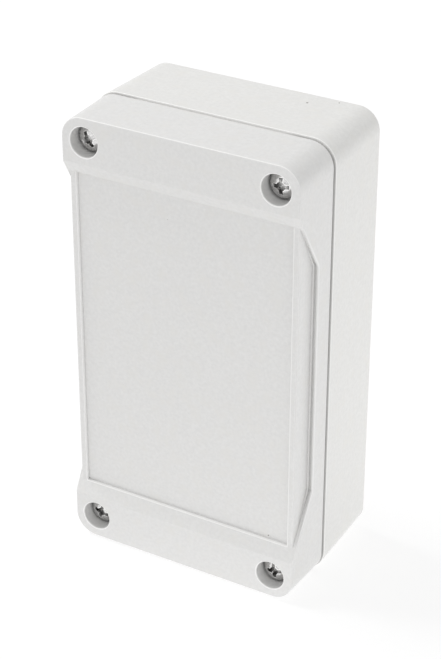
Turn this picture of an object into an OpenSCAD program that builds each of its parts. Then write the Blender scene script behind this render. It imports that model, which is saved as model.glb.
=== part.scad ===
// Sealed project box with a screw-down lid.
// The box is drawn lying on its back, lid up, and is then stood on its short end.

/* [Outside] */
// Width of the box at the rim of the base
box_w = 65.4; // [62:0.1:78]
// Length of the box at the rim of the base
box_h = 120; // [112:0.5:150]
// Height of the base, from the back face to its rim
base_d = 23.6; // [22:0.1:40]
// Height of the lid, from the edge of its skirt to its front face
lid_d = 15.45; // [14:0.05:20]
// Open seam between the rim of the base and the skirt of the lid
seam_gap = 0.75; // [0.6:0.05:1]
// Radius of the upright corners at the rim
corner_r = 6.3; // [5.4:0.1:7]
// How far the back edge of the base stands in from its rim
base_draft = 0.62; // [0.2:0.02:1]
// How far the skirt of the lid stands in from the rim of the base
skirt_inset = 0.32; // [0.1:0.02:0.5]
// How far the front edge of the lid stands in from its skirt
lid_draft = 0.38; // [0.1:0.02:0.6]
// Rounding of the front edges of the lid
edge_r = 0.3; // [0.2:0.05:0.6]
// Rounding of the rim of the base
rim_r = 0.25; // [0.1:0.05:0.4]

/* [Walls] */
// Thickness of the side walls at the rim
wall = 3.2; // [3.1:0.1:3.6]
// Thickness of the floor of the base
floor_t = 3; // [2.4:0.1:4]
// Thickness of the front plate of the lid
plate_t = 2.6; // [2.2:0.1:3]
// Extra thickness of the lid's walls beside the side reliefs
relief_backing = 1.3; // [1.2:0.1:1.6]
// Depth of that thicker part of the lid's walls, below the front face
backing_d = 11.2; // [10.8:0.1:12]

/* [Lid front] */
// Depth of the middle of the lid below the screw bands
saddle_d = 1.89; // [1:0.05:2.2]
// Length of each screw band, up to the start of its slope
band_l = 12.6; // [12.2:0.1:13.5]
// Length of the slope from a screw band down to the middle
slope_l = 3.35; // [2.5:0.05:4.5]
// Depth of the label recess
recess_d = 0.9; // [0.4:0.05:1]
// Distance of the label recess from the long sides of the box
recess_margin = 3.15; // [2.9:0.05:6]

/* [Side reliefs] */
// Distance of the ledge of a side relief from the front face
ledge_d = 9.5; // [8:0.1:10]
// How much shorter a relief is at its ledge, at each end
relief_taper = 12.95; // [8:0.05:16]
// How far the relief stands in from the box side at the front
relief_in_front = 1.35; // [1.2:0.05:1.6]
// How far the relief stands in from the box side at its ledge
relief_in_ledge = 2.1; // [1.9:0.05:2.2]
// Width of the gutter in the ledge
gutter_w = 0.75; // [0.4:0.05:0.8]
// Depth of the gutter in the ledge
gutter_d = 0.6; // [0.3:0.05:1]
// Distance of that gutter from the box side
gutter_in = 0.85; // [0.8:0.05:0.95]

/* [Screw posts] */
// Spacing of the posts across the box
post_dx = 51.65; // [48:0.05:52.2]
// Spacing of the posts along the box
post_dy = 106.2; // [105.5:0.05:107]
// Radius of a post where it bounds the well
post_r = 6.4; // [6.2:0.1:7]
// Radius of the pad on which lid and base meet
pad_r = 3.9; // [3.6:0.05:4]
// How far the pads of the base stand above its rim
pad_rise = 0.35; // [0.2:0.05:0.5]
// Radius of the counterbores
bore_r = 3.9; // [3.75:0.05:4.1]
// Depth of the counterbores
bore_d = 4.4; // [4.2:0.1:5]
// Chamfer at the mouth of the counterbores
bore_chamfer = 0.18; // [0.05:0.01:0.3]
// Depth of the fixing holes in the back of the posts
fixing_d = 8; // [5:0.5:9]
// Radius of the fixing holes in the back of the posts
fixing_r = 1.6; // [1.2:0.05:2]

/* [Lid screws] */
// Thread radius of a lid screw
screw_r = 1.75; // [1.5:0.05:1.8]
// Length of a lid screw under its head
screw_l = 18; // [16.5:0.5:19]
// Radius of the screw head
head_r = 3.5; // [3:0.05:3.6]
// Height of the screw head
head_h = 2.4; // [2:0.1:2.8]
// Height of the straight side of the screw head
head_side = 0.9; // [0.4:0.05:1.1]
// Length of one arm of the cross recess, from the axis
cross_arm = 2.05; // [1.5:0.05:2.3]
// Width of an arm of the cross recess
cross_w = 1; // [0.6:0.05:1.2]
// Depth of the cross recess
cross_d = 1.9; // [1:0.1:2]
// Radial clearance of the screw in the lid
screw_clear = 0.2; // [0.1:0.05:0.3]
// Radial clearance of the screw in its insert
thread_clear = 0.05; // [0.02:0.01:0.1]
// Turn of each screw's cross, in degrees
cross_turn = [32, 3, 75, 8];

/* [Inserts] */
// Outer radius of a brass insert
insert_r = 2.8; // [2.5:0.05:3]
// Length of a brass insert
insert_l = 8; // [6:0.5:9]
// How far an insert lies below its pad
insert_sunk = 0.15; // [0:0.05:0.5]
// Depth of the grooves that hold the insert in the post
insert_groove = 0.3; // [0.1:0.05:0.5]
// Free depth for the screw's tip below the insert
tip_room = 3; // [2:0.5:4]

/* [Seal] */
// Distance of the seal groove from the well
seal_in = 0.8; // [0.7:0.05:0.9]
// Width of the seal groove
seal_w = 1.4; // [1.2:0.05:1.4]
// Depth of the seal groove
seal_d = 2.4; // [2:0.1:3]
// Thickness of the gasket
gasket_t = 1.1; // [0.8:0.05:1.3]
// Side clearance of the gasket in its groove
gasket_clear = 0.05; // [0.02:0.01:0.1]
// Side clearance of the lid's tongue in the groove
tongue_clear = 0.1; // [0.05:0.01:0.15]
// Gap between the tongue and the gasket
tongue_gap = 0.1; // [0.05:0.01:0.2]

/* [Board bosses] */
// Spacing of the board bosses across the box
boss_dx = 42; // [30:0.5:48]
// Spacing of the board bosses along the box
boss_dy = 76; // [40:0.5:80]
// Height of the board bosses above the floor
boss_h = 6; // [4:0.5:10]
// Radius of the board bosses
boss_r = 3; // [2.5:0.1:4]
// Radius of the pilot holes in the board bosses
pilot_r = 1.25; // [1:0.05:1.5]
// Depth of the pilot holes in the board bosses
pilot_d = 5; // [3:0.5:6]

/* [Hidden] */
$fn = 64;
over = 1;
arc_steps = 4;

box_d = base_d + seam_gap + lid_d;
skirt_z = base_d + seam_gap;
seat_z = base_d + pad_rise;
well_w = box_w - 2 * wall;
well_h = box_h - 2 * wall;
post_x = post_dx / 2;
post_y = post_dy / 2;
saddle_z = box_d - saddle_d;
ledge_z = box_d - ledge_d;
flat_y = box_h / 2 - band_l - slope_l;
band_y = box_h / 2 - band_l;
ledge_y = flat_y - relief_taper;
head_z = box_d - bore_d;
insert_top = seat_z - insert_sunk;
insert_bottom = insert_top - insert_l;
groove_z = base_d - seal_d;
gasket_top = groove_z + gasket_t;
POSTS = [[-1, 1], [1, 1], [-1, -1], [1, -1]];

base_color = [0.87, 0.87, 0.85];
lid_color = [0.82, 0.83, 0.83];
seal_color = [0.2, 0.2, 0.21];
steel_color = [0.72, 0.71, 0.7];
brass_color = [0.78, 0.64, 0.36];

// Points of a quarter round from an upright side to a level top
function quarter(x, z, r) = [
    for (i = [0:arc_steps]) [x - r + r * cos(90 * i / arc_steps), z - r + r * sin(90 * i / arc_steps)]
];

// Stands the lying box on its short end, lid to the front
module stand() {
    translate([0, box_d / 2, box_h / 2]) rotate([90, 0, 0]) children();
}

// One copy at each screw post
module at_posts() {
    for (p = POSTS) translate([p[0] * post_x, p[1] * post_y, 0]) children();
}

// Block with round upright corners whose sides follow a profile of [inset, height]
module profiled_block(w, h, r, prof) {
    n = len(prof);
    cx = w / 2 - r;
    cy = h / 2 - r;
    low = prof[0][1];
    high = prof[n - 1][1];
    corner = concat([[0, low]], [for (p = prof) [r - p[0], p[1]]], [[0, high]]);
    across = concat([for (p = prof) [w / 2 - p[0], p[1]]], [for (i = [n - 1:-1:0]) [prof[i][0] - w / 2, prof[i][1]]]);
    along = concat([for (p = prof) [h / 2 - p[0], p[1]]], [for (i = [n - 1:-1:0]) [prof[i][0] - h / 2, prof[i][1]]]);
    for (sx = [-1, 1], sy = [-1, 1]) translate([sx * cx, sy * cy, 0]) rotate_extrude() polygon(corner);
    rotate([90, 0, 0]) linear_extrude(height = 2 * cy, center = true) polygon(across);
    rotate([90, 0, 90]) linear_extrude(height = 2 * cx, center = true) polygon(along);
}

// Outline of the well, grown by a margin, with the screw posts left out
module well_outline(grow) {
    w = well_w + 2 * grow;
    h = well_h + 2 * grow;
    r = post_r - grow;
    difference() {
        square([w, h], center = true);
        for (p = POSTS) translate([p[0] * post_x, p[1] * post_y]) {
            circle(r);
            translate([p[0] > 0 ? 0 : -2 * r - over, -r]) square([2 * r + over, 2 * r]);
            translate([-r, p[1] > 0 ? 0 : -2 * r - over]) square([2 * r, 2 * r + over]);
            translate([p[0] > 0 ? 0 : -2 * r - over, p[1] > 0 ? 0 : -2 * r - over]) square(2 * r + over);
        }
    }
}

// Ring between two margins of the well's outline
module seal_outline(inner, outer) {
    difference() {
        well_outline(outer);
        well_outline(inner);
    }
}

// Outside of the lid before its cut-outs
module lid_block() {
    front_in = skirt_inset + lid_draft;
    top = [for (q = quarter(-front_in, box_d, edge_r)) [-q[0], q[1]]];
    profiled_block(box_w, box_h, corner_r, concat([[skirt_inset, skirt_z]], top));
}

// Long section that lowers the middle of the lid between the screw bands
module saddle_cut() {
    rotate([90, 0, 90]) linear_extrude(height = box_w + 2 * over, center = true)
        polygon([[-flat_y, saddle_z], [flat_y, saddle_z], [band_y, box_d], [band_y, box_d + over],
                 [-band_y, box_d + over], [-band_y, box_d]]);
}

// Side view of a relief, with its ledge let down by a depth
module relief_outline(down) {
    slant = relief_taper / (ledge_d - saddle_d);
    drop = down * sqrt(1 + slant * slant) - down;
    polygon([[-flat_y, saddle_z], [-ledge_y - drop / slant, ledge_z - down], [ledge_y + drop / slant, ledge_z - down],
             [flat_y, saddle_z], [flat_y, box_d + over], [-flat_y, box_d + over]]);
}

// One side relief with a tapered floor, a rounded front edge and a gutter in its ledge
module relief_cut() {
    x_front = box_w / 2 - relief_in_front;
    x_ledge = box_w / 2 - relief_in_ledge;
    x_out = box_w / 2 + over;
    x_gutter = box_w / 2 - gutter_in - gutter_w / 2;
    top = quarter(x_front, saddle_z, edge_r);
    edge = [for (i = [0:arc_steps]) top[i]];
    intersection() {
        rotate([90, 0, 90]) linear_extrude(height = x_out) relief_outline(0);
        rotate([90, 0, 0]) linear_extrude(height = box_h, center = true)
            polygon(concat([[x_out, ledge_z - over], [x_ledge, ledge_z - over], [x_ledge, ledge_z]], edge,
                           [[x_front - edge_r, box_d + over], [x_out, box_d + over]]));
    }
    intersection() {
        rotate([90, 0, 90]) linear_extrude(height = x_out) relief_outline(gutter_d);
        translate([x_gutter - gutter_w / 2, -box_h / 2, 0]) cube([gutter_w, box_h, box_d]);
    }
}

// Hollow of the lid, which follows its front at the thickness of the plate
module lid_hollow() {
    deep = plate_t + recess_d;
    intersection() {
        union() {
            translate([0, 0, skirt_z - over]) linear_extrude(height = box_d - backing_d - skirt_z + over) well_outline(0);
            translate([0, 0, skirt_z]) linear_extrude(height = box_d - skirt_z) well_outline(-relief_backing);
        }
        rotate([90, 0, 90]) linear_extrude(height = box_w, center = true)
            polygon([[-well_h / 2, skirt_z - 2 * over], [well_h / 2, skirt_z - 2 * over],
                     [well_h / 2, box_d - plate_t], [band_y, box_d - plate_t], [flat_y, saddle_z - deep],
                     [-flat_y, saddle_z - deep], [-band_y, box_d - plate_t], [-well_h / 2, box_d - plate_t]]);
    }
}

module base() {
    rim = [for (q = quarter(0, base_d, rim_r)) [-q[0], q[1]]];
    color(base_color) stand() difference() {
        union() {
            difference() {
                profiled_block(box_w, box_h, corner_r, concat([[base_draft, 0]], rim));
                translate([0, 0, floor_t]) linear_extrude(height = base_d) well_outline(0);
            }
            at_posts() translate([0, 0, base_d - over]) cylinder(r = pad_r, h = pad_rise + over);
            for (sx = [-1, 1], sy = [-1, 1]) translate([sx * boss_dx / 2, sy * boss_dy / 2, floor_t / 2])
                cylinder(r = boss_r, h = boss_h + floor_t / 2);
        }
        translate([0, 0, groove_z]) linear_extrude(height = seal_d + over) seal_outline(seal_in, seal_in + seal_w);
        at_posts() {
            translate([0, 0, insert_bottom]) cylinder(r = insert_r, h = insert_l + box_d);
            translate([0, 0, insert_bottom - tip_room]) cylinder(r = screw_r + screw_clear, h = insert_l);
            translate([0, 0, -over]) cylinder(r = fixing_r, h = fixing_d + over);
        }
        for (sx = [-1, 1], sy = [-1, 1])
            translate([sx * boss_dx / 2, sy * boss_dy / 2, floor_t + boss_h - pilot_d])
                cylinder(r = pilot_r, h = pilot_d + over);
    }
}

module lid() {
    tongue_l = skirt_z - gasket_top - tongue_gap;
    color(lid_color) stand() difference() {
        union() {
            difference() {
                lid_block();
                lid_hollow();
            }
            translate([0, 0, skirt_z - tongue_l]) linear_extrude(height = tongue_l + over)
                seal_outline(seal_in + tongue_clear, seal_in + seal_w - tongue_clear);
            at_posts() translate([0, 0, seat_z]) cylinder(r = pad_r, h = skirt_z - seat_z + over);
        }
        saddle_cut();
        translate([0, 0, saddle_z + (over - recess_d) / 2])
            cube([box_w - 2 * recess_margin, 2 * flat_y, recess_d + over], center = true);
        for (side = [0, 1]) mirror([side, 0, 0]) relief_cut();
        at_posts() {
            translate([0, 0, skirt_z - 2 * over]) cylinder(r = screw_r + screw_clear, h = lid_d + over);
            translate([0, 0, head_z]) cylinder(r = bore_r, h = bore_d + over);
            translate([0, 0, box_d - bore_chamfer])
                cylinder(r1 = bore_r, r2 = bore_r + bore_chamfer + over, h = bore_chamfer + over);
        }
    }
}

module gasket() {
    color(seal_color) stand() translate([0, 0, groove_z]) linear_extrude(height = gasket_t)
        seal_outline(seal_in + gasket_clear, seal_in + seal_w - gasket_clear);
}

// Pan-head screw with a cross recess, tip down
module lid_screw(i) {
    p = POSTS[i];
    dome = head_h - head_side;
    ball = (head_r * head_r + dome * dome) / (2 * dome);
    sweep = asin(head_r / ball);
    crown = [for (k = [0:8]) [ball * sin(sweep * (1 - k / 8)), head_h - ball + ball * cos(sweep * (1 - k / 8))]];
    tip = screw_r / 3;
    color(steel_color) stand() translate([p[0] * post_x, p[1] * post_y, head_z]) rotate([0, 0, cross_turn[i]])
        difference() {
            rotate_extrude() polygon(concat([[0, -screw_l], [screw_r - tip, -screw_l], [screw_r, tip - screw_l],
                                             [screw_r, 0], [head_r, 0]], crown));
            for (a = [0, 90]) rotate([0, 0, a]) translate([0, 0, head_h])
                cube([2 * cross_arm, cross_w, 2 * cross_d], center = true);
            translate([0, 0, head_h - cross_d]) cylinder(r1 = cross_w / 2, r2 = cross_w * 1.2, h = cross_d + 0.01);
        }
}

// Knurled brass insert with two holding grooves, drawn as turned rings
module insert(i) {
    p = POSTS[i];
    ring = insert_l / 5;
    g = insert_r - insert_groove;
    color(brass_color) stand() translate([p[0] * post_x, p[1] * post_y, insert_bottom])
        rotate_extrude() polygon([[screw_r + thread_clear, 0], [g, 0], [g, ring / 2], [insert_r, ring / 2 + insert_groove],
                                  [insert_r, 2 * ring], [g, 2 * ring], [g, 3 * ring], [insert_r, 3 * ring],
                                  [insert_r, insert_l], [screw_r + thread_clear, insert_l]]);
}

base();
lid();
gasket();
lid_screw(0);  // lid_screw_1
lid_screw(1);  // lid_screw_2
lid_screw(2);  // lid_screw_3
lid_screw(3);  // lid_screw_4
insert(0);  // insert_1
insert(1);  // insert_2
insert(2);  // insert_3
insert(3);  // insert_4
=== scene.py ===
"""Looks of a sealed plastic project box that stands on its short end.

The base, lid, gasket and inserts are the CAD pieces with their finishes. The lid screws are rebuilt with the
CAD's heads and a real thread. The rest is the floor, the light and the camera.
"""

import math

import bmesh
import bpy
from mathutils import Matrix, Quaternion, Vector


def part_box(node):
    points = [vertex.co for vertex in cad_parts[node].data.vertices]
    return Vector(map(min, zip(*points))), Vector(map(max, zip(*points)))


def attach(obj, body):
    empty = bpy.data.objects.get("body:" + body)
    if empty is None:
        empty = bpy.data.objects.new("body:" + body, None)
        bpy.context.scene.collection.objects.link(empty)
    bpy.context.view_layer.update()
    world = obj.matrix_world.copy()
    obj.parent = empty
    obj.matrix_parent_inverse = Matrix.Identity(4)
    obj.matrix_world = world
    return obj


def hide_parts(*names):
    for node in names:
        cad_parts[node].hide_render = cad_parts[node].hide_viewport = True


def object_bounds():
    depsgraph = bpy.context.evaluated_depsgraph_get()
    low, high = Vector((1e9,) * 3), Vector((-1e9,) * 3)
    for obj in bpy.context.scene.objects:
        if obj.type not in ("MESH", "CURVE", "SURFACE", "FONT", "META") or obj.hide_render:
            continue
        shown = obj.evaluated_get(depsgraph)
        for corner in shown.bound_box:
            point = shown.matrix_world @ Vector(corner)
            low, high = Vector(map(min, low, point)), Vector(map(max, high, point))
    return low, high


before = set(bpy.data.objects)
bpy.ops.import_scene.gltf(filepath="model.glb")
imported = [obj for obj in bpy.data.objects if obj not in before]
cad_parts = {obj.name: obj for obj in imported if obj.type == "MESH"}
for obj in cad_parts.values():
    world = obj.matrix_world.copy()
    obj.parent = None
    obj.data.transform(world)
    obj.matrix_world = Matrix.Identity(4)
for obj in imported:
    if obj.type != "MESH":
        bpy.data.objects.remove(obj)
cad_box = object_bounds()

MM = 0.001


def mm(*values):
    """Lengths in millimetres, as metres."""
    return tuple(value * MM for value in values)


SCREWS = ["1", "2", "3", "4"]
BOX_FRONT = cad_box[0][1]
BOX_BOTTOM = cad_box[0][2]
BOX_TOP = cad_box[1][2]
BOX_MIDDLE_Z = (BOX_BOTTOM + BOX_TOP) / 2

# Camera, in degrees and metres, and in millimetres for the lens and the sensor
# It looks down at a lid corner from the right
CAMERA_AZIMUTH = 30.17
CAMERA_ELEVATION = 29.31
CAMERA_ROLL = 0.08
CAMERA_DISTANCE = 0.4946
CAMERA_LENS = 107.98
CAMERA_SENSOR = 36
CAMERA_TARGET = (-0.00018, 0.00028, 0.06026)

# Finishes, as linear colours
BASE_COLOR = (0.783, 0.78, 0.765)
LID_COLOR = (0.757, 0.754, 0.746)
SPECK_COLOR = (0.16, 0.14, 0.12)
SEAL_COLOR = (0.03, 0.03, 0.033)
STEEL_COLOR = (0.74, 0.735, 0.73)
BRASS_COLOR = (0.68, 0.47, 0.2)
WHITE = (1, 1, 1, 1)

# Shares by which the plastic's colour is lighter, or darker where negative; all but the clouds are painted
# shade, painted light and painted highlights
CLOUDS = 0.032
# Painted shade at the bottom of narrow gaps and creases
PAINTED_GAP_SHADE = -0.6
# Painted shade in the open seam below the top
SEAM_SIDE_SHADE = -0.28
# Painted light in the open seam near the top
SEAM_TOP_LIGHT = 0.22
# Painted highlight on every outer edge
OUTER_EDGE_HIGHLIGHT = 0.13
# Painted highlight on the rounded edge between the front and the top
FRONT_TOP_HIGHLIGHT = 0.27
# Painted highlight on the front edge of the base beside the seam
SIDE_RIM_HIGHLIGHT = 0.2
# Painted highlight round the chamfer at the mouth of each counterbore
BORE_RIM_HIGHLIGHT = 0.3
# Painted highlight along the sides and lower end of the label recess
RECESS_RIM_HIGHLIGHT = 0.21

# The same for the metals, where the gaps get painted shade and the edges painted highlights, and for the
# dust on the rubber
TARNISH = -0.25
# Painted shade in the gaps of the screw heads and threads
METAL_GAP_SHADE = -0.75
# Painted highlight on the metal's outer edges
METAL_EDGE_HIGHLIGHT = 0.35
RUBBER_DUST = 0.8

# Slightly warmer patches of the plastic: their tint and how strong it gets
WARM_TINT = (1, 0.992, 0.972)
WARM_SHARE = 0.6

# Roughness: of the plastic from its glossiest to its dullest place, how much a stain adds, and of the rubber
PLASTIC_ROUGHNESS = (0.42, 0.52)
STAIN_ROUGHNESS = 0.15
RUBBER_ROUGHNESS = 0.75

# Grains of the noise, in cells a metre
CLOUD_GRAIN = 1100
WARM_GRAIN = 320
SPARK_GRAIN = 3200
GLOSS_GRAIN = 900
STAIN_GRAIN = 1500
METAL_GRAIN = 6000
DUST_GRAIN = 2500
RUBBER_GRAIN = 5000

# Levels of the noise at which a patch starts and is full
CLOUD_LEVELS = (0.3, 0.7)
WARM_LEVELS = (0.5, 0.7)
GLOSS_LEVELS = (0.3, 0.7)
STAIN_LEVELS = (0.4, 0.7)
DUST_LEVELS = (0.45, 0.75)

# Levels of the ambient occlusion at which an outer edge or a gap starts and is full
CREST_LEVELS = (0.8, 0.5)
GAP_LEVELS = (0.55, 0.15)

# Light: the levels of the studio and of the white table, and the brighter pool to the right behind the box
WORLD_LEVEL = 0.66
WHITE_LEVEL = 1.0
TABLE_COLOR = 0.45
TABLE_GLOW = 0.5
POOL_GLOW = 0.95
POOL_PLACE = (0.16, 0.17, 0)
POOL_RADIUS = 0.34
SHOWN_COLOR = 0.35
SHOWN_GLOW = 0.7

# How far the floor reaches each way, and how far the lamps stand from the middle of the box, in metres
FLOOR_REACH = 4
LAMP_DISTANCE = 1.2

# Screws and counterbores as in the CAD: head height, bore radius, and the screws' places from the middle
HEAD_HEIGHT = 2.4 * MM
BORE_RADIUS = 3.9 * MM
SCREW_X = 25.825 * MM
SCREW_Z = 53.1 * MM

# Chamfer of a counterbore: where its mask fades, out from the bore and in from the front
CHAMFER_OUT = mm(0.18, 0.3)
CHAMFER_IN = mm(0.2, 0.35)

# Label recess as in the CAD: half its width and length, its upper end and its floor
RECESS_X = 29.55 * MM
RECESS_Z = 44.05 * MM
RECESS_END = BOX_MIDDLE_Z + RECESS_Z
RECESS_FLOOR = -17.11 * MM

# Painted highlight on the edge of the recess: a band past the recess, its fade up from the floor and its
# fade at the upper end
RECESS_RIM_BAND = mm(-0.06, -0.02, 0.16, 0.26)
RECESS_RIM_RISE = mm(0.3, 0.5)
RECESS_RIM_END = mm(0.1, 0.5)

# Bands along Y in the box's frame, from the CAD: the open seam, which gets painted shade and light, and the
# edge of the base behind it, which gets a painted highlight
SEAM_BAND = mm(-4.45, -4.37, -3.72, -3.64)
SIDE_RIM_BAND = mm(-3.64, -3.56, -3.44, -3.32)

# How far below the top the painted light in the seam starts to fade, and where it ends
TOP_FADE = mm(1, 4)

# Band of the normal's Y, and rise of its Z, on an edge between the front and the top, where a highlight is
# painted
EDGE_TILT_BAND = (-0.86, -0.75, -0.3, -0.15)
EDGE_RISE = (0.1, 0.4)

# Screw thread: the radii, pitch and lengths of an M3.5 machine screw
# Its flanks rise this many times more steeply than those of a plain triangle, which leaves a flat crest
THREAD_CREST = 1.75 * MM
THREAD_ROOT = 1.4 * MM
THREAD_PITCH = 0.6 * MM
THREAD_FLANK = 2.4
PLAIN_SHANK = 6 * MM
TIP_TAPER = 0.7 * MM
TIP_RADIUS = 0.75 * THREAD_ROOT
TIP_RISE = 0.5 * THREAD_ROOT
SHANK_SIDES = 28
RINGS_A_PITCH = 8

# Dark specks in the plastic: place and radius, in millimetres, and the share of the radius that's fully dark
BASE_SPECKS = [((15.3, 14.5, 119.52), 0.34), ((21.8, 18.5, 119.42), 0.24)]
LID_SPECKS = [((-4.5, -17.1, 97.1), 0.09), ((23.8, -17.1, 16.7), 0.2)]
SPECK_CORE = 0.6

# Sockets of Blender's mix node for low, high and the result, by its kind
MIX_SOCKETS = {"FLOAT": (2, 3, 0), "RGBA": (6, 7, 2)}


# ---------------------------------------------------------------- node helpers

def new_material(name):
    """An empty node material, and its node tree."""
    material = bpy.data.materials.new(name)
    material.use_nodes = True
    tree = material.node_tree
    tree.nodes.clear()
    return material, tree


def add(tree, kind, **values):
    """One node. Keyword names are its attributes, or its inputs where they start with a capital."""
    node = tree.nodes.new(kind)
    for key, value in values.items():
        name = key.replace("_", " ")
        if key[0].isupper() and name in node.inputs:
            node.inputs[name].default_value = value
        else:
            setattr(node, key, value)
    return node


def link(tree, source, output, target, input_name):
    """Links two nodes, by the names or numbers of their sockets."""
    tree.links.new(source.outputs[output], target.inputs[input_name])


def feed(tree, value, socket):
    """Feeds an input with a node's output, a colour or a number."""
    if isinstance(value, bpy.types.NodeSocket):
        tree.links.new(value, socket)
    elif isinstance(value, tuple):
        socket.default_value = (*value, 1)
    else:
        socket.default_value = value


def mix(tree, kind, factor, low, high):
    """A number or colour that goes from low to high, by the kind of the mix node."""
    low_input, high_input, result = MIX_SOCKETS[kind]
    node = add(tree, "ShaderNodeMix", data_type=kind)
    feed(tree, factor, node.inputs[0])
    feed(tree, low, node.inputs[low_input])
    feed(tree, high, node.inputs[high_input])
    return node.outputs[result]


def mix_color(tree, factor, low, high):
    """A colour that goes from low to high, each a colour or a node's colour output."""
    return mix(tree, "RGBA", factor, low, high)


def math_node(tree, operation, first, second=0.0):
    """The result of a maths operation on values or node outputs."""
    node = add(tree, "ShaderNodeMath", operation=operation)
    feed(tree, first, node.inputs[0])
    feed(tree, second, node.inputs[1])
    return node.outputs[0]


def product(tree, values):
    """The product of node outputs."""
    result = values[0]
    for value in values[1:]:
        result = math_node(tree, "MULTIPLY", result, value)
    return result


def ramp(tree, value, low, high, to_low=0.0, to_high=1.0):
    """The value's range from low to high, stretched and clamped to another range."""
    node = add(tree, "ShaderNodeMapRange", From_Min=low, From_Max=high, To_Min=to_low, To_Max=to_high)
    tree.links.new(value, node.inputs["Value"])
    return node.outputs["Result"]


def band(tree, value, places):
    """0, rising to 1 between the first two places and falling back to 0 between the last two."""
    start, full, fading, end = places
    return product(tree, (ramp(tree, value, start, full), ramp(tree, value, end, fading)))


def noise(tree, scale, detail=2.0):
    """Noise in the object's own space, with a scale in cells a metre."""
    node = add(tree, "ShaderNodeTexNoise", Scale=scale, Detail=detail, Roughness=0.5)
    link(tree, add(tree, "ShaderNodeTexCoord"), "Object", node, "Vector")
    return node.outputs["Fac"]


def distance_to(tree, place):
    """How far the shaded place lies from another, in the object's own space."""
    node = add(tree, "ShaderNodeVectorMath", operation="DISTANCE")
    link(tree, add(tree, "ShaderNodeTexCoord"), "Object", node, 0)
    node.inputs[1].default_value = place
    return node.outputs["Value"]


def place_in_object(tree):
    """The X, Y and Z outputs of the shaded place, in the box's frame."""
    parts = add(tree, "ShaderNodeSeparateXYZ")
    link(tree, add(tree, "ShaderNodeTexCoord"), "Object", parts, "Vector")
    return parts.outputs["X"], parts.outputs["Y"], parts.outputs["Z"]


def past(tree, value, middle, half):
    """How far the value lies past half a length from its middle, on either side."""
    away = math_node(tree, "ABSOLUTE", math_node(tree, "SUBTRACT", value, middle))
    return math_node(tree, "SUBTRACT", away, half)


# ---------------------------------------------------------------- masks

def convex_edges(tree, reach):
    """1 at the crest of an outer edge, falling to 0 within about half the reach."""
    node = add(tree, "ShaderNodeAmbientOcclusion", inside=True, only_local=True, samples=12, Distance=reach)
    return ramp(tree, node.outputs["AO"], *CREST_LEVELS)


def deep_gaps(tree, reach):
    """1 at the bottom of a gap narrower than the reach, falling to 0 at its mouth."""
    node = add(tree, "ShaderNodeAmbientOcclusion", samples=8, Distance=reach)
    return ramp(tree, node.outputs["AO"], *GAP_LEVELS)


def upper_front_edge(tree):
    """1 on a rounded edge between the front and the top, which catches the light, and 0 elsewhere."""
    parts = add(tree, "ShaderNodeSeparateXYZ")
    link(tree, add(tree, "ShaderNodeNewGeometry"), "Normal", parts, "Vector")
    tilted = band(tree, parts.outputs["Y"], EDGE_TILT_BAND)
    return product(tree, (tilted, ramp(tree, parts.outputs["Z"], *EDGE_RISE)))


def recess_rim(tree):
    """1 on the edge round the sides and the lower end of the label recess, and 0 elsewhere."""
    x, y, z = place_in_object(tree)
    across = past(tree, x, 0.0, RECESS_X)
    along = past(tree, z, BOX_MIDDLE_Z, RECESS_Z)
    edge = band(tree, math_node(tree, "MAXIMUM", across, along), RECESS_RIM_BAND)
    front = ramp(tree, y, RECESS_FLOOR - RECESS_RIM_RISE[0], RECESS_FLOOR - RECESS_RIM_RISE[1])
    below = ramp(tree, z, RECESS_END - RECESS_RIM_END[0], RECESS_END - RECESS_RIM_END[1])
    return product(tree, (edge, front, below))


def bore_rim(tree):
    """1 on the chamfer at the mouth of the four counterbores, and 0 elsewhere."""
    x, y, z = place_in_object(tree)
    dx = past(tree, x, 0.0, SCREW_X)
    dz = past(tree, z, BOX_MIDDLE_Z, SCREW_Z)
    squares = math_node(tree, "ADD", product(tree, (dx, dx)), product(tree, (dz, dz)))
    radius = math_node(tree, "SQRT", squares)
    near = ramp(tree, radius, BORE_RADIUS + CHAMFER_OUT[1], BORE_RADIUS + CHAMFER_OUT[0])
    front = ramp(tree, y, BOX_FRONT + CHAMFER_IN[1], BOX_FRONT + CHAMFER_IN[0])
    return product(tree, (near, front))


def seam(tree):
    """1 in the band of the open seam between base and lid, and 0 elsewhere."""
    return band(tree, place_in_object(tree)[1], SEAM_BAND)


def near_top(tree):
    """1 near the top of the box, where the seam is painted lighter, and 0 below."""
    return ramp(tree, place_in_object(tree)[2], BOX_TOP - TOP_FADE[1], BOX_TOP - TOP_FADE[0])


def side_rim(tree):
    """1 in a narrow band at the front edge of the base, and 0 elsewhere and near the top."""
    edge = band(tree, place_in_object(tree)[1], SIDE_RIM_BAND)
    return product(tree, (edge, math_node(tree, "SUBTRACT", 1.0, near_top(tree))))


def speck(tree, tone, place, radius):
    """The tone with one dark speck, at a place and with a radius in millimetres."""
    away = distance_to(tree, Vector(place) * MM)
    inside = ramp(tree, away, radius * MM, SPECK_CORE * radius * MM)
    return mix_color(tree, inside, tone, SPECK_COLOR)


# ---------------------------------------------------------------- materials

def lighter(color, share):
    """The colour, lighter by a share, or darker where the share is negative."""
    return tuple(min(1.0, c * (1 + share)) for c in color)


def grain_normal(tree, scale, detail, strength, depth, rounding=None):
    """A normal with a fine noise grain, over edges that are rounded where a radius is given."""
    bump = add(tree, "ShaderNodeBump", Strength=strength, Distance=depth)
    tree.links.new(noise(tree, scale, detail), bump.inputs["Height"])
    if rounding:
        link(tree, add(tree, "ShaderNodeBevel", samples=6, Radius=rounding), "Normal", bump, "Normal")
    return bump.outputs["Normal"]


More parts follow.
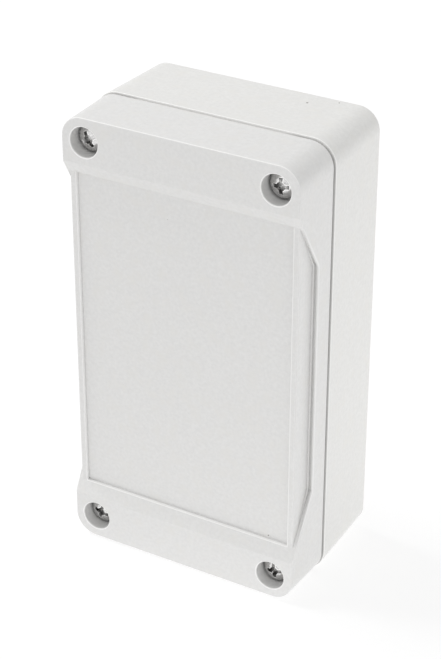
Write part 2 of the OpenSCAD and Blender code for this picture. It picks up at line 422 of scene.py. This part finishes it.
def add_surface(tree, tone, roughness, normal, **values):
    """Ends a material with a Principled shader."""
    shader = add(tree, "ShaderNodeBsdfPrincipled", **values)
    feed(tree, tone, shader.inputs["Base Color"])
    feed(tree, roughness, shader.inputs["Roughness"])
    feed(tree, normal, shader.inputs["Normal"])
    link(tree, shader, "BSDF", add(tree, "ShaderNodeOutputMaterial"), "Surface")


def plastic_body(tree, color):
    """The plastic's colour with soft clouds and slightly warmer patches."""
    cloud = ramp(tree, noise(tree, CLOUD_GRAIN, detail=3), *CLOUD_LEVELS)
    tone = mix_color(tree, cloud, lighter(color, -CLOUDS), lighter(color, CLOUDS))
    warm = ramp(tree, noise(tree, WARM_GRAIN, detail=3), *WARM_LEVELS, 0, WARM_SHARE)
    return mix_color(tree, warm, tone, tuple(c * tint for c, tint in zip(color, WARM_TINT)))


def plastic_edges(tree, tone, color, rim_highlights):
    """The tone with painted shade in gaps, painted shade in the seam below the top and painted light near
    the top, and painted highlights on edges.
    """
    # The seam gets painted shade below the top and painted light near the top
    seam_shade_and_light = mix_color(tree, near_top(tree), lighter(color, SEAM_SIDE_SHADE), lighter(color, SEAM_TOP_LIGHT))
    # Painted shade at the bottom of narrow gaps and creases
    tone = mix_color(tree, deep_gaps(tree, reach=0.5 * MM), tone, lighter(color, PAINTED_GAP_SHADE))
    tone = mix_color(tree, seam(tree), tone, seam_shade_and_light)
    # Painted highlight on outer edges
    tone = mix_color(tree, convex_edges(tree, reach=0.6 * MM), tone, lighter(color, OUTER_EDGE_HIGHLIGHT))
    # Painted highlight on the edge between the front and the top
    tone = mix_color(tree, upper_front_edge(tree), tone, lighter(color, FRONT_TOP_HIGHLIGHT))
    # Painted highlight on the front edge of the base
    tone = mix_color(tree, side_rim(tree), tone, lighter(color, SIDE_RIM_HIGHLIGHT))
    if rim_highlights:
        # Painted highlight round the mouths of the counterbores
        tone = mix_color(tree, bore_rim(tree), tone, lighter(color, BORE_RIM_HIGHLIGHT))
        # Painted highlight along the edge of the label recess
        tone = mix_color(tree, recess_rim(tree), tone, lighter(color, RECESS_RIM_HIGHLIGHT))
    return tone


def moulded_plastic(name, color, specks, rim_highlights=False):
    """Satin moulded plastic: soft clouds, a fine spark-eroded grain, painted shade and light in gaps and the
    seam, painted highlights on edges, and a few specks.
    """
    material, tree = new_material(name)
    tone = plastic_edges(tree, plastic_body(tree, color), color, rim_highlights)
    for place, radius in specks:
        tone = speck(tree, tone, place, radius)
    normal = grain_normal(tree, SPARK_GRAIN, detail=1, strength=0.35, depth=0.02 * MM, rounding=0.22 * MM)
    roughness = ramp(tree, noise(tree, GLOSS_GRAIN), *GLOSS_LEVELS, *PLASTIC_ROUGHNESS)
    add_surface(tree, tone, roughness, normal, IOR=1.5, Specular_IOR_Level=0.35)
    return material


def metal(name, color, rough):
    """Bright metal with a fine grain, a slight tarnish, painted shade in gaps and painted highlights on
    edges.
    """
    material, tree = new_material(name)
    stain = ramp(tree, noise(tree, STAIN_GRAIN, detail=3), *STAIN_LEVELS)
    tone = mix_color(tree, stain, color, lighter(color, TARNISH))
    # Painted shade in the gaps of the head and thread
    tone = mix_color(tree, deep_gaps(tree, reach=1.3 * MM), tone, lighter(color, METAL_GAP_SHADE))
    # Painted highlight on the metal's outer edges
    tone = mix_color(tree, convex_edges(tree, reach=0.4 * MM), tone, lighter(color, METAL_EDGE_HIGHLIGHT))
    normal = grain_normal(tree, METAL_GRAIN, detail=2, strength=0.15, depth=0.01 * MM, rounding=0.06 * MM)
    roughness = ramp(tree, stain, 0, 1, rough, rough + STAIN_ROUGHNESS)
    add_surface(tree, tone, roughness, normal, Metallic=1.0)
    return material


def rubber(name, color):
    """Matte rubber with a dusty grain."""
    material, tree = new_material(name)
    dust = ramp(tree, noise(tree, DUST_GRAIN, detail=3), *DUST_LEVELS)
    tone = mix_color(tree, dust, color, lighter(color, RUBBER_DUST))
    normal = grain_normal(tree, RUBBER_GRAIN, detail=2, strength=0.4, depth=0.03 * MM)
    add_surface(tree, tone, RUBBER_ROUGHNESS, normal)
    return material


def dress(node, material):
    """Gives a CAD node its material."""
    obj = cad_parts[node]
    obj.data.materials.clear()
    obj.data.materials.append(material)


# ---------------------------------------------------------------- screws

def ridge(share):
    """Height of the thread, 0 to 1, at a share of its pitch: a flank up, a crest and a flank down."""
    return min(1.0, THREAD_FLANK * (1 - abs(2 * share - 1)))


def shank_radius(along, turn, length):
    """Radius of the shank at a distance under the head and at a share of a turn."""
    if along < PLAIN_SHANK:
        return THREAD_CREST
    share = (along / THREAD_PITCH - turn) % 1
    radius = THREAD_ROOT + (THREAD_CREST - THREAD_ROOT) * ridge(share)
    left = max(0.0, (length - along) / TIP_TAPER)
    return min(radius, TIP_RADIUS + TIP_RISE * left)


def shank_ring(b, axis_x, axis_z, top, along, length):
    """One ring of vertices round the shank, at a distance under the head."""
    ring = []
    for k in range(SHANK_SIDES):
        radius = shank_radius(along, k / SHANK_SIDES, length)
        angle = 2 * math.pi * k / SHANK_SIDES
        x = axis_x + radius * math.cos(angle)
        z = axis_z + radius * math.sin(angle)
        ring.append(b.verts.new((x, top + along, z)))
    return ring


def add_shank(b, axis_x, axis_z, top, tip):
    """A closed threaded shank along Y, from under the head to the tip."""
    length = tip - top
    threaded = length - PLAIN_SHANK
    steps = round(threaded / (THREAD_PITCH / RINGS_A_PITCH))
    stations = [0.0, PLAIN_SHANK] + [PLAIN_SHANK + threaded * (i + 1) / steps for i in range(steps)]
    rings = [shank_ring(b, axis_x, axis_z, top, along, length) for along in stations]
    for low, high in zip(rings, rings[1:]):
        for k in range(SHANK_SIDES):
            following = (k + 1) % SHANK_SIDES
            b.faces.new((low[k], high[k], high[following], low[following]))
    b.faces.new(rings[0])
    b.faces.new(list(reversed(rings[-1])))


def screw_mesh(number, node):
    """Mesh of a lid screw: the CAD's head, cut off under it and closed, on a threaded shank."""
    low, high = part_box(node)
    under_head = low[1] + HEAD_HEIGHT
    b = bmesh.new()
    b.from_mesh(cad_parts[node].data)
    everything = b.verts[:] + b.edges[:] + b.faces[:]
    cut = bmesh.ops.bisect_plane(
        b, geom=everything, plane_co=(0, under_head, 0), plane_no=(0, 1, 0), clear_outer=True)
    rim = [e for e in cut["geom_cut"] if isinstance(e, bmesh.types.BMEdge)]
    bmesh.ops.holes_fill(b, edges=rim)
    add_shank(b, (low[0] + high[0]) / 2, (low[2] + high[2]) / 2, under_head, high[1])
    bmesh.ops.recalc_face_normals(b, faces=b.faces)
    mesh = bpy.data.meshes.new("screw_body_" + number)
    b.to_mesh(mesh)
    b.free()
    return mesh


def build_screw(number, material):
    """A lid screw that takes the place of its CAD node and turns with it."""
    node = "lid_screw_" + number
    mesh = screw_mesh(number, node)
    mesh.materials.append(material)
    screw = bpy.data.objects.new("screw_body_" + number, mesh)
    bpy.context.scene.collection.objects.link(screw)
    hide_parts(node)
    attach(screw, "screw_" + number)


# ---------------------------------------------------------------- floor, light, camera

def shown(tree):
    """1 for what the camera sees, directly, in a gloss or through glass, and 0 for what lights the box."""
    path = add(tree, "ShaderNodeLightPath")
    direct = math_node(tree, "MAXIMUM", path.outputs["Is Camera Ray"], path.outputs["Is Glossy Ray"])
    return math_node(tree, "MAXIMUM", direct, path.outputs["Is Transmission Ray"])


def table_material():
    """White table that glows softly, more so in a pool of light, and that shows white with a pale shadow."""
    material, tree = new_material("white_table")
    seen = shown(tree)
    away = distance_to(tree, POOL_PLACE)
    pool = ramp(tree, away, POOL_RADIUS, 0, TABLE_GLOW, TABLE_GLOW + POOL_GLOW)
    glow = add(tree, "ShaderNodeEmission")
    feed(tree, mix(tree, "FLOAT", seen, pool, SHOWN_GLOW), glow.inputs["Strength"])
    paper = add(tree, "ShaderNodeBsdfDiffuse")
    feed(tree, mix_color(tree, seen, (TABLE_COLOR,) * 3, (SHOWN_COLOR,) * 3), paper.inputs["Color"])
    both = add(tree, "ShaderNodeAddShader")
    link(tree, paper, 0, both, 0)
    link(tree, glow, 0, both, 1)
    link(tree, both, 0, add(tree, "ShaderNodeOutputMaterial"), "Surface")
    return material


def build_floor():
    """A pale floor that shows nearly white to the camera and keeps the box's shadow."""
    mesh = bpy.data.meshes.new("floor")
    b = bmesh.new()
    bmesh.ops.create_grid(b, x_segments=1, y_segments=1, size=FLOOR_REACH)
    b.to_mesh(mesh)
    b.free()
    floor = bpy.data.objects.new("floor", mesh)
    floor.location = (0, 0, BOX_BOTTOM)
    bpy.context.scene.collection.objects.link(floor)
    mesh.materials.append(table_material())


def build_world():
    """Even studio light: white to the camera, a plain level to the object."""
    world = bpy.data.worlds.new("studio")
    world.use_nodes = True
    tree = world.node_tree
    tree.nodes.clear()
    soft = add(tree, "ShaderNodeBackground", Color=WHITE, Strength=WORLD_LEVEL)
    white = add(tree, "ShaderNodeBackground", Color=WHITE, Strength=WHITE_LEVEL)
    choose = add(tree, "ShaderNodeMixShader")
    feed(tree, shown(tree), choose.inputs[0])
    link(tree, soft, 0, choose, 1)
    link(tree, white, 0, choose, 2)
    link(tree, choose, 0, add(tree, "ShaderNodeOutputWorld"), "Surface")
    bpy.context.scene.world = world


def direction(azimuth, elevation):
    """Unit vector from the object towards a place at that azimuth and elevation in degrees."""
    a = math.radians(azimuth)
    e = math.radians(elevation)
    return Vector((math.sin(a) * math.cos(e), -math.cos(a) * math.cos(e), math.sin(e)))


def add_lamp(name, azimuth, elevation, size, power):
    """A square soft box that points at the middle of the box, with its size in metres and power in watts."""
    data = bpy.data.lights.new(name, "AREA")
    data.shape = "SQUARE"
    data.size = size
    data.energy = power
    lamp = bpy.data.objects.new(name, data)
    back = direction(azimuth, elevation)
    lamp.location = (Vector(cad_box[0]) + Vector(cad_box[1])) / 2 + back * LAMP_DISTANCE
    lamp.rotation_euler = back.to_track_quat("Z", "Y").to_euler()
    bpy.context.scene.collection.objects.link(lamp)
    return lamp


def build_camera():
    """The camera of the photograph, as fitted to the edges of the box."""
    data = bpy.data.cameras.new("camera")
    data.lens = CAMERA_LENS
    data.sensor_width = CAMERA_SENSOR
    camera = bpy.data.objects.new("camera", data)
    back = direction(CAMERA_AZIMUTH, CAMERA_ELEVATION)
    camera.location = Vector(CAMERA_TARGET) + back * CAMERA_DISTANCE
    roll = Quaternion(back, math.radians(CAMERA_ROLL))
    camera.rotation_euler = (roll @ back.to_track_quat("Z", "Y")).to_euler()
    bpy.context.scene.collection.objects.link(camera)
    bpy.context.scene.camera = camera


dress("base", moulded_plastic("base_plastic", BASE_COLOR, BASE_SPECKS))
dress("lid", moulded_plastic("lid_plastic", LID_COLOR, LID_SPECKS, rim_highlights=True))
dress("gasket", rubber("seal_rubber", SEAL_COLOR))
steel = metal("screw_steel", STEEL_COLOR, rough=0.1)
brass = metal("insert_brass", BRASS_COLOR, rough=0.3)
for n in SCREWS:
    build_screw(n, steel)
    dress("insert_" + n, brass)

build_floor()
build_world()
add_lamp("key", azimuth=-86, elevation=60, size=0.42, power=5.1)
front_fill = add_lamp("front_fill", azimuth=0, elevation=3, size=0.8, power=2.1)
front_fill.visible_glossy = False
add_lamp("side_fill", azimuth=75, elevation=12, size=0.6, power=0.4)
build_camera()

bpy.context.scene.view_settings.view_transform = "Standard"
